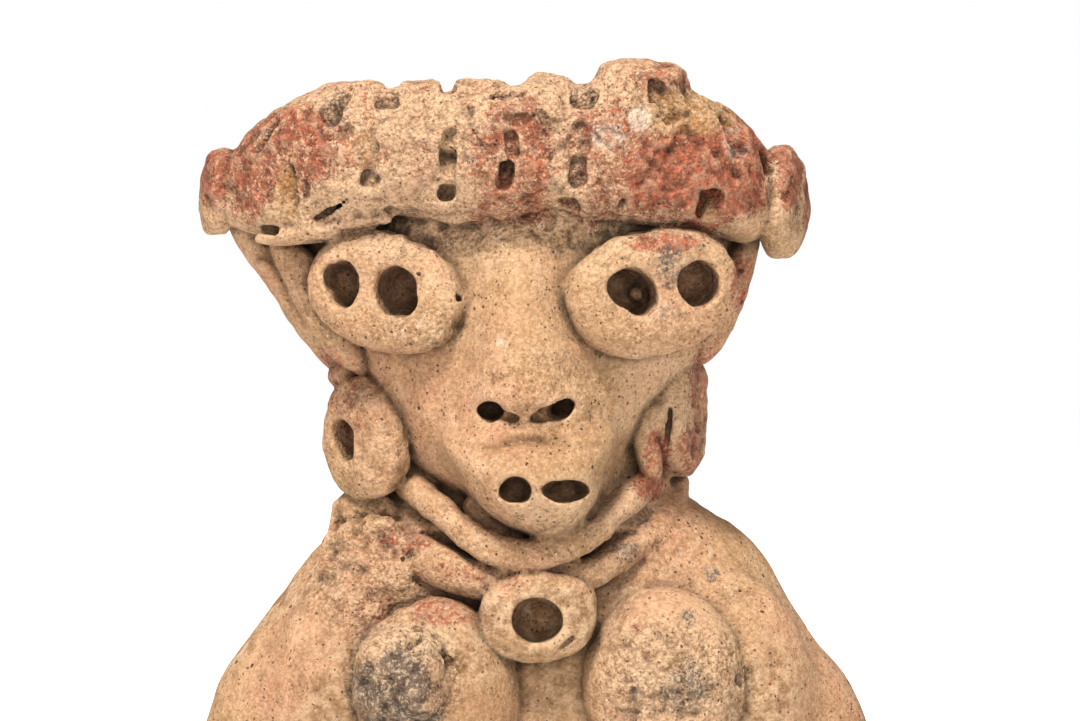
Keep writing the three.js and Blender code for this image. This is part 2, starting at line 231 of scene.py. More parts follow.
# %% [markdown]
# The head is a wedge: broad at the brow, narrow at the jaw. The mouth sits on a muzzle that stands
# forward of the cheeks, and the nose is a ridge pinched up between the eyes. Wide fillets make the three
# read as one modelled face.
# %% Head, muzzle and nose
HEAD = [
    (29.5, -4, 5.5, -11.5, 0),
    (33, -9.4, 7.4, -13, 4),
    (36, -13, 9, -13.6, 7),
    (40, -15.5, 11.6, -14, 9),
    (44, -17.6, 14.8, -14.2, 10.5),
    (48, -19.2, 17.3, -14.2, 11.5),
    (52, -20.3, 18.9, -14, 12),
    (56, -21.3, 20, -13.6, 12.5),
    (60, -22, 20.6, -13, 12.6),
    (64, -21.6, 20.2, -12.4, 12.2),
    (67.5, -19.6, 18.2, -11, 10.8),
    (70, -15.6, 14.2, -8.6, 8.6),
    (71.3, -10.5, 9, -5.6, 5.8),
    (71.8, -4, 2.6, -2, 2),
]
MUZZLE = [
    (28.7, -0.6, 2.4, -15.2, -12),
    (29.7, -3, 3.9, -17.2, -9),
    (31.2, -5.2, 5.2, -18.9, -8),
    (33, -6.8, 6, -19.8, -8),
    (35, -8.2, 6.4, -19.8, -8),
    (37.5, -9.8, 7.4, -18.4, -8),
    (40, -9.2, 6.9, -16, -8),
    (43, -7, 4.8, -14, -8),
    (45.5, -4.2, 2.4, -12, -8),
    (48, -2.5, 0.6, -10, -8),
]
NOSE = [
    (37.8, -5, 3, -14, -8),
    (39.6, -6.9, 4.4, -17.2, -8),
    (41.6, -7.4, 5, -19, -8),
    (45, -6.6, 3.9, -18.6, -8),
    (50, -6, 2.9, -17.2, -8),
    (55, -5.8, 2.6, -15.8, -8),
    (60, -5.8, 2.6, -13.4, -8),
]
HEAD_ROUNDNESS, MUZZLE_ROUNDNESS, NOSE_ROUNDNESS = 2.5, 2.2, 2.0
join(*loft(HEAD, HEAD_ROUNDNESS), 1.2)
join(*loft(MUZZLE, MUZZLE_ROUNDNESS), 2.4)
join(*loft(NOSE, NOSE_ROUNDNESS), 2.6)
print("head at", round(time.time() - started, 1), "s")


# %% [markdown]
# Pellets sit on the skin behind them, so their depth comes from the outline that carries them, as in
# the model's solid. Every punch mark starts at its pellet's face.
# %% Where the skin is, and the punch
def front_at(outline, roundness, right, up):
    lowest, highest, front, back = (float(column(outline, np.array(up), i)) for i in (1, 2, 3, 4))
    share = min(abs((right - (lowest + highest) / 2) / ((highest - lowest) / 2)), 1)
    return (front + back) / 2 - (back - front) / 2 * (1 - share**roundness) ** (1 / roundness)


def seated(surface, thickness, share):
    """How far forward a pellet's middle lies when a share of its thickness is pressed into the surface."""
    return surface + thickness * (share - 0.5)


def punch(right, up, wide, high, surface, depth, fillet=0.3, **options):
    options = {"profile": 5, "bend": 0.6, "rough": 0.22, **options}
    carve(*lump((right, surface, up), (wide, depth * 2, high), **options), fillet)


# %% [markdown]
# An eye is a flattened pellet with two holes. Its edge is left proud and only lightly pressed down, so
# the fillet is small and a dark line stays round it. Pushing the stick in drags the clay down round the
# hole, which leaves a shallow dish there, and the inner corner is drawn out to a point. A small ball of
# clay is stuck in the right eye's hole, and the left eye has a nick beside its outer hole and one at its
# inner corner.
# %% Eyes
EYES = {
    "left": {"at": (-15.3, 52.9), "size": (16.4, 7, 12.4), "lean": 17, "turn": -12},
    "right": {"at": (11.2, 52.7), "size": (18, 7, 12.6), "lean": -13, "turn": 12},
}
EYE_HOLES = {
    "left": [
        (-20, 53.4, 2.8, 4.9),
        (-21.2, 54.2, 2.0, 2.6),
        (-14.8, 52.9, 3.9, 4.8),
        (-14.0, 52.5, 3.2, 4.2),
    ],
    "right": [(9.1, 53.3, 4.6, 4.0), (10.4, 52.6, 3.2, 4.3), (16.3, 53.8, 4.4, 4.7)],
}
CORNERS = {"left": (-8.9, 51.4, 4.6, 5.6, 30), "right": (3.6, 53.3, 4.6, 2.8, -38)}
DISH = {"left": (-17, 53, 10.5, 7.4), "right": (12.6, 53.4, 12.6, 7.4)}
EYE_DEPTH = 6.5
BALL_IN_RIGHT_HOLE, BALL_SIZE = (9.8, 5.7, 52.4), (1.5, 2.4, 1.4)
LEFT_EYE_NICKS = [
    (-20.9, 52.0, 2.2, 2.8, 0.0, -20, 0.6),
    (-8.6, 52.3, 1.2, 0.8, 0.8, 0, 0.3),
]
NICK_DEPTH = 0.7
SUNK = {"eye": 0.44, "pendant": 0.11, "breast": 0.57, "nipple": 0.62}
pellet_faces = {}
for side, eye in EYES.items():
    right, up = eye["at"]
    thick = eye["size"][1]
    middle = seated(front_at(HEAD, HEAD_ROUNDNESS, right, up), thick, SUNK["eye"])
    face = middle - thick / 2
    cut, pellet = lump((right, middle, up), eye["size"], eye["turn"], eye["lean"], 2.1, 3.4)
    right, up, wide, high, lean = CORNERS[side]
    corner_cut, corner = lump((right, middle + 0.4, up), (wide, thick * 0.8, high), lean=lean, profile=3)
    mine = np.full_like(clay, FAR)
    mine[cut] = pellet
    mine[corner_cut] = soft_min(mine[corner_cut], corner, 0.8)
    right, up, wide, high = DISH[side]
    cut, dish = lump((right, face, up), (wide, 1.5, high), eye["turn"], eye["lean"])
    mine[cut] = -soft_min(-mine[cut], dish, 0.8)
    clay = soft_min(clay, mine + 0.05 * ragged, 0.22)
    for hole in EYE_HOLES[side]:
        punch(*hole, face, EYE_DEPTH, turn=eye["turn"])
    pellet_faces[side] = face
right, deep, up = BALL_IN_RIGHT_HOLE
join(*lump((right, pellet_faces["right"] + deep, up), BALL_SIZE), 0.5)
for right, up, wide, high, below, lean, rough in LEFT_EYE_NICKS:
    punch(right, up, wide, high, pellet_faces["left"] + below, NICK_DEPTH, rough=rough, lean=lean)

# %% Nostrils and mouth
NOSTRILS = [
    (-5.0, 41.1, 2.8, 1.7, 5, 0),
    (-3.1, 40.7, 2.4, 0.9, 1.6, 20),
    (2.3, 41.3, 2.6, 1.7, 5, -18),
    (0.4, 40.7, 2.8, 1.1, 1.6, -24),
]
MOUTH_HOLES, MOUTH_DEPTH = ((-2.4, 33.4, 3.3, 2.6), (2.6, 33.3, 4.4, 2.2)), 5
for right, up, wide, high, deep, lean in NOSTRILS:
    surface = front_at(NOSE, NOSE_ROUNDNESS, right, up)
    punch(right, up, wide, high, surface, deep, lean=lean, bend=1.2, rough=0.3)
for hole in MOUTH_HOLES:
    punch(*hole, front_at(MUZZLE, MUZZLE_ROUNDNESS, *hole[:2]), MOUTH_DEPTH)
crease_y = front_at(MUZZLE, MUZZLE_ROUNDNESS, 0, 38.3)
carve(*lump((0.4, crease_y - 0.9, 38.35), (9, 2.2, 0.6), lean=-2, bend=2), 0.8)

# %% [markdown]
# The headdress is a thick roll laid across the brow, higher than the crown behind it. Its ends carry a
# disc each, a raised block stands on its right, and strips hang from it to the ears. Small dabs and a
# flake of clay are stuck on beside the ears and under the chin.
# %% Headdress, crest, discs and strips
HEADDRESS = [
    (-31.5, 59.5, 66.5, -9, -1),
    (-29, 58.8, 69.4, -11.5, 1),
    (-25, 57.9, 72.1, -14, 1.5),
    (-20, 58.7, 74, -15.8, 1.5),
    (-14, 59.8, 74.3, -17, 1),
    (-7, 59.4, 74.3, -17.6, 1),
    (0, 60, 74.9, -17.8, 1),
    (7, 59.6, 74.9, -17.5, 1),
    (13, 58.8, 74, -16.5, 1.5),
    (18, 58.2, 72.2, -15, 1.5),
    (21.5, 58, 69.2, -12.5, 1.5),
    (23.5, 59, 66, -10, 0),
]
HEADDRESS_ROUNDNESS = 3
STRIPS = [
    ((-25.2, -3.5, 52.6), (3.8, 7, 21), -36),
    ((-22.2, -6, 51.8), (5, 6, 17.5), -33),
    ((-22, -1.5, 56), (7.5, 8, 14), -32),
    ((18.9, -3, 52.6), (4.2, 9, 15), 23),
    ((11, -7.6, 36.8), (2.8, 4.4, 6.4), -10),
    ((11.6, -8, 40), (2.6, 4, 4), 30),
    ((-19.6, -4.2, 44.6), (3.8, 5, 3), -30),
    ((-27.8, -6.4, 55.4), (2, 2.2, 1.5), 40),
    ((-4.4, -9.8, 30.2), (8, 4.4, 4.4), 27),
]
CREST = ((10, -9, 72.2), (10.4, 15, 8))
DISCS = [
    ((-32.5, -5, 62.9), (7.8, 3, 9), -74, 0.1),
    ((24.5, -5.5, 62.1), (10.5, 4.4, 12), 74, 0.12),
]


def headdress_front(right, up):
    lowest, highest, front, back = (float(column(HEADDRESS, np.array(right), i)) for i in (1, 2, 3, 4))
    share = min(abs((up - (lowest + highest) / 2) / ((highest - lowest) / 2)), 1)
    depth = (1 - share**HEADDRESS_ROUNDNESS) ** (1 / HEADDRESS_ROUNDNESS)
    return (front + back) / 2 - (back - front) / 2 * depth


for at, size, lean in STRIPS:
    join(*lump(at, size, lean=lean, profile=2.6, rough=0.08), 0.3)
join(*loft(HEADDRESS, HEADDRESS_ROUNDNESS, across=True, bend=1.4), 0.25)
join(*lump(*CREST, outline=4, profile=3, rough=0.2), 0.5)
for at, size, turn, rough in DISCS:
    join(*lump(at, size, turn=turn, profile=3, rough=rough), 0.12)

# %% [markdown]
# The headdress's lower edge was folded up on the left, which left a lip with an open crease above it. A
# few dark cracks run where the clay was too dry when it was bent.
# %% Lip and cracks
LIP = (-21.5, 59.3, 15, 2.6, -9)
CRACKS = [
    (-20.9, 61.4, 4.2, 0.45, -27, 1.6),
    (-4, 72.5, 1.3, 0.3, 8, 1.2),
    (8.6, 61.2, 0.25, 1.8, 20, 0.5),
    (9.8, 63.4, 1.2, 0.25, -35, 0.4),
    (13.6, 58.8, 3.6, 0.3, 6, 1.0),
]
right, up, wide, high, lean = LIP
at = (right, headdress_front(right, up) + 1.1, up)
join(*lump(at, (wide, 5, high), turn=-14, lean=lean, rough=0.1), 0.7)
for right, up, wide, high, lean, deep in CRACKS:
    punch(right, up, wide, high, headdress_front(right, up), deep, 0.12, lean=lean, bend=2.5, rough=0.1)


# %% [markdown]
# The ear spools are punched discs turned to face outwards: the middle, the size, the turn and the lean of
# each, and how far its hole lies off its middle.
# %% Ear spools
SPOOLS = [
    ((-17.5, -6.8, 38.1), (9.8, 3.8, 12.7), -38, -14, -1.4),
    ((14.2, -2.8, 41), (12.8, 4.4, 13), 76, 12, 0),
]
SPOOL_HOLE = (3, 6, 4.4)
for at, size, turn, lean, aside in SPOOLS:
    join(*lump(at, size, turn, lean, profile=3.5, rough=0.2, bend=1.3), 0.1)
    s, c = math.sin(math.radians(turn)), math.cos(math.radians(turn))
    mouth = (at[0] + s * size[1] / 2 + c * aside, at[1] - c * size[1] / 2 + s * aside, at[2])
    carve(*lump(mouth, SPOOL_HOLE, turn, lean, profile=5, bend=0.6, rough=0.2), 0.3)


# %% [markdown]
# Two rolled coils go round the neck. A coil is a ring whose height and reach change as it goes: low in
# front, where the pendant hangs, and high at the nape. It is told its thickness, its height on the left
# and right, where it passes left, right, front and back, and how long it stays level before it sags.
# %% Necklace and pendant
def neck_coil(thick, high, left, right, front, back, sag):
    reach = [max(abs(left[0]), abs(right[0])) + 3, max(abs(front[0]), abs(back[0])) + 3]
    heights = [p[1] for p in (left, right, front, back)]
    cut = block((-reach[0], -reach[1], min(heights) - high[0]), (reach[0], reach[1], max(heights) + high[0]))
    x, y, z = places(cut, 1.3)
    middle, half = (left[0] + right[0]) / 2, (right[0] - left[0]) / 2
    reach_y = np.where(y < 0, abs(front[0]), abs(back[0]))
    level_y = np.where(y < 0, front[1], back[1])
    angle = np.arctan2(y / reach_y, (x - middle) / half)
    c, s = np.cos(angle), np.sin(angle)
    out = np.hypot(x - middle, y) - np.hypot(half * c, reach_y * s)
    share = (1 + c) / 2
    side = left[1] + (right[1] - left[1]) * share
    level = side + (level_y - side) * np.abs(s) ** (sag[0] + (sag[1] - sag[0]) * share)
    half_high = (high[0] + (high[1] - high[0]) * share) / 2
    value = (np.abs(out / (thick / 2)) ** 2.4 + np.abs((z - level) / half_high) ** 2.4) ** (1 / 2.4) - 1
    return cut, as_distance(value.astype(np.float32)) + 0.1 * ragged[cut]


LOWER_COIL = (3.8, (4.8, 3.2), (-17, 28.4), (13.4, 33.2), (-13.2, 24), (9.2, 34.4), (1.9, 1.15))
UPPER_COIL = (3.4, (3.5, 3.2), (-14.2, 34.8), (11.6, 34.6), (-14.6, 27.1), (9, 38), (2.2, 2.1))
join(*neck_coil(*LOWER_COIL), 0.5)
join(*neck_coil(*UPPER_COIL), 0.7)
PENDANT, PENDANT_HOLE, PENDANT_DEPTH = (11.6, 5.6, 9.6), (-0.3, 20.3, 4.9, 4.6), 4.2
PENDANT_AT = (-0.2, 20.8)
pendant_middle = seated(front_at(TORSO, BODY_ROUNDNESS, *PENDANT_AT), PENDANT[1], SUNK["pendant"])
at = (PENDANT_AT[0], pendant_middle, PENDANT_AT[1])
join(*lump(at, PENDANT, outline=2.3, profile=3.4, rough=0.16, bend=1.3), 0.1)
pendant_face = pendant_middle - PENDANT[1] / 2
punch(*PENDANT_HOLE, pendant_face, PENDANT_DEPTH, rough=0.14)
PENDANT_CRACKS = [
    (-2.9, 17.8, 2.6, 0.5, 32),
    (-1.2, 17.5, 2.2, 0.5, -64),
    (2.3, 18.0, 2.4, 0.6, -58),
    (1.2, 16.4, 3.6, 0.5, 8),
    (-4.4, 18.6, 2.0, 0.4, 70),
]
HAIRLINE = 0.3
for right, up, wide, deep, lean in PENDANT_CRACKS:
    punch(right, up, wide, HAIRLINE, pendant_face, deep, 0.1, lean=lean, bend=3.0, rough=0.1)

# %% [markdown]
# The breasts are two more pellets. The left one keeps its nipple, a ball fired grey, and the right one
# has lost it. Their outer sides are smoothed into the arms, and clay is smeared over the left shoulder.
# %% Breasts and the smeared shoulder
LEFT_BREAST, RIGHT_BREAST, NIPPLE = (17.2, 14, 18.6), (16.8, 13, 19), (9.6, 9, 9.6)
LEFT_AT, RIGHT_AT = (-10.3, 13.1), (12.6, 13.6)
INTO_THE_ARMS = [((-20, -8, 13), (12, 8, 19)), ((20.5, -8, 14), (13, 9, 20))]
left_y = seated(front_at(TORSO, BODY_ROUNDNESS, *LEFT_AT), LEFT_BREAST[1], SUNK["breast"])
right_y = seated(front_at(TORSO, BODY_ROUNDNESS, *RIGHT_AT), RIGHT_BREAST[1], SUNK["breast"])
for at, size in INTO_THE_ARMS:
    join(*lump(at, size), 3.0)
join(*lump((LEFT_AT[0], left_y, LEFT_AT[1]), LEFT_BREAST, profile=2.3), 0.2)
join(*lump((RIGHT_AT[0], right_y, RIGHT_AT[1]), RIGHT_BREAST, profile=2.3), 0.3)
nipple_y = seated(left_y - LEFT_BREAST[1] / 2, NIPPLE[1], SUNK["nipple"])
join(*lump((-13.5, nipple_y, 14.9), NIPPLE, turn=-16, outline=2.3, profile=2.4, rough=0.22), 0.12)
SMEARS = [
    (-17.6, 24.6, 10, 10.5, -14),
    (-17.8, 29.4, 7.5, 7, 10),
    (-18.6, 19.6, 6.5, 6, 20),
]
SMEAR_THICK, SMEAR_SUNK = 3.0, 0.78
for right, up, wide, high, lean in SMEARS:
    smear_y = seated(front_at(TORSO, BODY_ROUNDNESS, right, up), SMEAR_THICK, SMEAR_SUNK)
    at, size = (right, smear_y, up), (wide, SMEAR_THICK, high)
    flat = {"outline": 3.4, "profile": 5, "bend": 1.6, "rough": 0.3}
    join(*lump(at, size, turn=-24, lean=lean, **flat), 0.35)
print("forms done at", round(time.time() - started, 1), "s")

# %% [markdown]
# The skin of the clay is never smooth. Fingers leave low dents all over, the headdress is crumbly where
# its slip has worn off, and the nipple and the right breast are pitted. A mask says how rough each
# region is. Adding noise to the field moves the surface by that much. Where a noise passes through
# zero, its absolute value has a sharp valley, so it makes rounded crumbs with creases between them. Only
# the field close to the surface is moved, or the noise would make loose crumbs in the air.
# %% How rough each region is
CRUMBLY = [
    (-4, 67, 64, 20, 1.5),
    (14.5, 71.5, 9, 6, 1.8),
    (13.5, 13.5, 15, 12, 1.4),
    (-13.5, 14.2, 10.5, 10.5, 2.3),
    (-17, 25, 12, 14, 0.9),
    (-17, 53, 18, 12, 0.5),
    (13, 53, 19, 12, 0.5),
    (-11.5, 49.5, 8, 5, 0.7),
    (0, 43, 12, 8, 0.45),
    (24.6, 62, 8, 12, 0.6),
    (-33, 63, 6, 9, 0.6),
    (-1, 28, 34, 12, 0.4),
    (-18, 38, 10, 13, 0.45),
    (14.5, 40, 8, 14, 0.4),
]
SOFT_SKIN = 0.22
RELIEF_REACH, RELIEF_FADE = 1.7, 0.7


def soft_edge(distance, soft):
    share = np.clip((1 + soft - distance) / (2 * soft), 0, 1)
    return share * share * (3 - 2 * share)


def oval(x, z, patch, soft=0.3):
    """How far inside an oval patch of the front a place is: 1 in the middle, 0 outside."""
    right, up, wide, high = patch[:4]
    return soft_edge(np.hypot((x - right) / (wide / 2), (z - up) / (high / 2)), soft)


def worst(x, z, patches):
    found = np.full(np.broadcast(x, z).shape, 0.0)
    for patch in patches:
        found = np.maximum(found, patch[4] * oval(x, z, patch))
    return found


crumble = worst(AXES[0][:, None], AXES[2][None, :], CRUMBLY).astype(np.float32)[:, None, :]
crumble = SOFT_SKIN + (1 - SOFT_SKIN) * crumble
grain = noise(0.85, 43)
crumbs = np.abs(noise(0.95, 47)) - 0.4
flakes = noise(2.3, 45) + 0.5 * grain
rough_skin = 0.13 * noise(3.2, 46) + 0.1 * noise(1.9, 44) + 0.12 * ragged - 0.24 * crumbs
rough_skin = rough_skin + 0.22 * soft_edge(1.4 - flakes, 0.08)
near_skin = np.clip((RELIEF_REACH - np.abs(clay)) / RELIEF_FADE, 0, 1)
clay += near_skin * (0.1 * noise(3.8, 41) + crumble * rough_skin)
print("relief at", round(time.time() - started, 1), "s")

# %% [markdown]
# The headdress's marks were pressed with the flat end of a stick, so they are narrow slots with square
# corners and torn floors, and four more marks cut right across the top edge. They are cut after the skin
# was roughened, so that they keep their corners. A thin groove runs down beside the right ear spool. The
# flat cut underneath comes last and stays flat. The grid's outermost layers are kept outside the clay, so
# that the surface is closed.
# %% Slots and notches
SLOTS = [
    (-9.2, 65.8, 1.7, 6.9, 1.1, 0),
    (-9.2, 63.1, 1.7, 1.7, 1.6, 0),
    (-3.4, 64.6, 1.7, 3.4, 1.6, 0),
    (-2.9, 67.8, 1.5, 2.8, 0.8, -10),
    (3.9, 64.8, 1.9, 3, 1.2, 0),
    (3.7, 67.4, 2.4, 3.8, 0.8, 12),
    (3.9, 69.0, 1.2, 1.8, 0.8, -25),
    (3.3, 61.4, 2.1, 1.7, 0.8, 0),
    (17, 61.1, 3, 3.4, 0.8, 0),
    (15.9, 61.2, 0.8, 3.2, 1.9, 8),
    (16.6, 62.5, 2.2, 0.7, 1.7, 0),
    (-26.8, 59.3, 2.1, 1.0, 1.0, 0),
    (-16.8, 64, 2.1, 1.7, 1.0, 20),
    (-20.4, 71.7, 2.9, 4.6, 1.2, 15),
    (-27.9, 68.6, 1.8, 4.2, 1.0, 25),
    (-25.4, 62.8, 2.4, 6.4, 0.4, 0),
    (-27.6, 64.8, 0.7, 0.9, 0.6, 30),
    (-17.1, 66.9, 2, 4.6, 0.35, 4),
    (-15.2, 71.9, 2.7, 1.9, 0.9, 0),
    (-2.6, 73.2, 2.4, 2.0, 1.0, 0),
    (4.4, 72.6, 2.8, 2.9, 1.2, 10),
    (11.5, 72.0, 1.8, 4.0, 0.7, 4),
    (12.8, 71.2, 3.4, 3.4, 0.5, -30),
    (19.3, 68.7, 2.4, 4.8, 0.9, -12),
    (22.7, 66, 1.3, 3.0, 1.2, -16),
]
NOTCHES = [(-14.8, 73.0, 2.2, 0.7), (-9.3, 72.7, 1.7, 0.3), (-2.7, 73.4, 2.6, 0.9), (3.8, 73.4, 2.4, 0.9)]
NOTCH_TOP = 77
NOTCH_REACH = 22
NOTCH_MIDDLE = -8
SPOOL_GROOVE, GROOVE_FACE, GROOVE_DEPTH = (12.9, 38.6, 0.5, 6.2), -9.2, 1.5
for right, up, wide, high, deep, lean in SLOTS:
    square = {"lean": lean, "outline": 3.6, "profile": 3.6, "rough": 0.42, "bend": 1.3}
    punch(right, up, wide, high, headdress_front(right, up), deep, 0.15, **square)
punch(*SPOOL_GROOVE, GROOVE_FACE, GROOVE_DEPTH, 0.2, lean=8, rough=0.2)
for right, bottom, wide, fillet in NOTCHES:
    high = 2 * (NOTCH_TOP - bottom)
    at = (right, NOTCH_MIDDLE, bottom + high / 2)
    carve(*lump(at, (wide, NOTCH_REACH, high), outline=4, profile=6, rough=0.5, bend=1.2), fillet)
clay = np.maximum(clay, -AXES[2][None, None, :])
for axis in range(3):
    for border in (0, -1):
        edge_layer = tuple(border if i == axis else slice(None) for i in range(3))
        clay[edge_layer] = np.maximum(clay[edge_layer], STEP)
print("slots and the flat cut at", round(time.time() - started, 1), "s")


# %% [markdown]
# Surface nets turn the field into a mesh: one point in every cell that the surface crosses, and one
# four-sided face for every grid edge that it crosses. The faces come out even, which suits shading and
# bump better than the slivers of marching cubes. Strong noise can shake a crumb loose, which would hang
# in the air, so only the biggest connected piece stays.
# %% From field to mesh
def cell_points(field, inside):
    """The cells that the surface crosses, and the middle of its crossings in each."""
    corners = [(i, j, k) for i in (0, 1) for j in (0, 1) for k in (0, 1)]
    size = [n - 1 for n in field.shape]
    filled = np.zeros(size, np.int8)
    for c in corners:
        filled += inside[tuple(slice(c[a], c[a] + size[a]) for a in range(3))]
    crossed_cells = np.argwhere((filled > 0) & (filled < 8))
    values = np.stack([field[tuple((crossed_cells + c).T)] for c in corners], 1)
    total, hits = np.zeros((len(crossed_cells), 3)), np.zeros((len(crossed_cells), 1))
    for a, b in ((a, b) for a in range(8) for b in range(a + 1, 8) if bin(a ^ b).count("1") == 1):
        crossed = (values[:, a] < 0) != (values[:, b] < 0)
        share = values[crossed, a] / (values[crossed, a] - values[crossed, b])
        total[crossed] += corners[a] + share[:, None] * np.subtract(corners[b], corners[a])
        hits[crossed] += 1
    return crossed_cells, crossed_cells + total / hits


def surface_net(field):
    inside = field < 0
    crossed_cells, points = cell_points(field, inside)
    number = np.full([n - 1 for n in field.shape], -1, np.int32)
    number[tuple(crossed_cells.T)] = np.arange(len(crossed_cells))
    quads = []
    for axis in range(3):
        near = [slice(None)] * 3
        near[axis] = slice(0, -1)
        far = list(near)
        far[axis] = slice(1, None)
        edges = np.argwhere(inside[tuple(near)] != inside[tuple(far)])
        side, up = np.eye(3, dtype=int)[(axis + 1) % 3], np.eye(3, dtype=int)[(axis + 2) % 3]
        around = [number[tuple((edges - step).T)] for step in (0 * side, side, side + up, up)]
        quad = np.stack(around, 1)
        outward = inside[tuple(edges.T)][:, None]
        quads.append(np.where(outward, quad, quad[:, ::-1]))
    return points * STEP + low, np.concatenate(quads)


def biggest_piece(points, quads):
    """Drops loose crumbs: each point takes the lowest number that its faces reach, until none changes."""
    label = np.arange(len(points))
    settled = False
    while not settled:
        before = label.copy()
        lowest = label[quads].min(1)
        for corner in range(4):
            np.minimum.at(label, quads[:, corner], lowest)
        label = label[label]
        settled = bool((label == before).all())
    kept = label == np.argmax(np.bincount(label))
    number = np.cumsum(kept) - 1
    return points[kept], number[quads[kept[quads[:, 0]]]]


points, quads = surface_net(clay)
print("net:", len(quads), "faces with loose crumbs, at", round(time.time() - started, 1), "s")
points, quads = biggest_piece(points, quads)
mesh = bpy.data.meshes.new("clay_figure")
mesh.vertices.add(len(points))
mesh.vertices.foreach_set("co", (points * MM).astype(np.float32).ravel())
mesh.loops.add(quads.size)
mesh.loops.foreach_set("vertex_index", quads.astype(np.int32).ravel())
mesh.polygons.add(len(quads))
mesh.polygons.foreach_set("loop_start", np.arange(0, quads.size, 4, dtype=np.int32))
mesh.update(calc_edges=True)
mesh.validate()
figure = bpy.data.objects.new("clay_figure", mesh)
bpy.context.scene.collection.objects.link(figure)
print("net:", len(points), "points,", len(quads), "faces, at", round(time.time() - started, 1), "s")

# %% [markdown]
# The even mesh is too heavy. The Decimate modifier takes points away where the surface is plain, such as
# the back and the flat cut, and keeps them along edges and in pits.
# %% Thin the mesh where it is plain
MOST_TRIANGLES = 197000
triangles = 2 * len(quads)
if triangles > MOST_TRIANGLES:
    thin = figure.modifiers.new("thin", "DECIMATE")
    thin.ratio = MOST_TRIANGLES / triangles
    thin.use_collapse_triangulate = True
    bpy.context.view_layer.objects.active = figure
    bpy.ops.object.modifier_apply(modifier=thin.name)
figure.data.shade_smooth()
print("mesh:", len(figure.data.polygons), "faces at", round(time.time() - started, 1), "s")

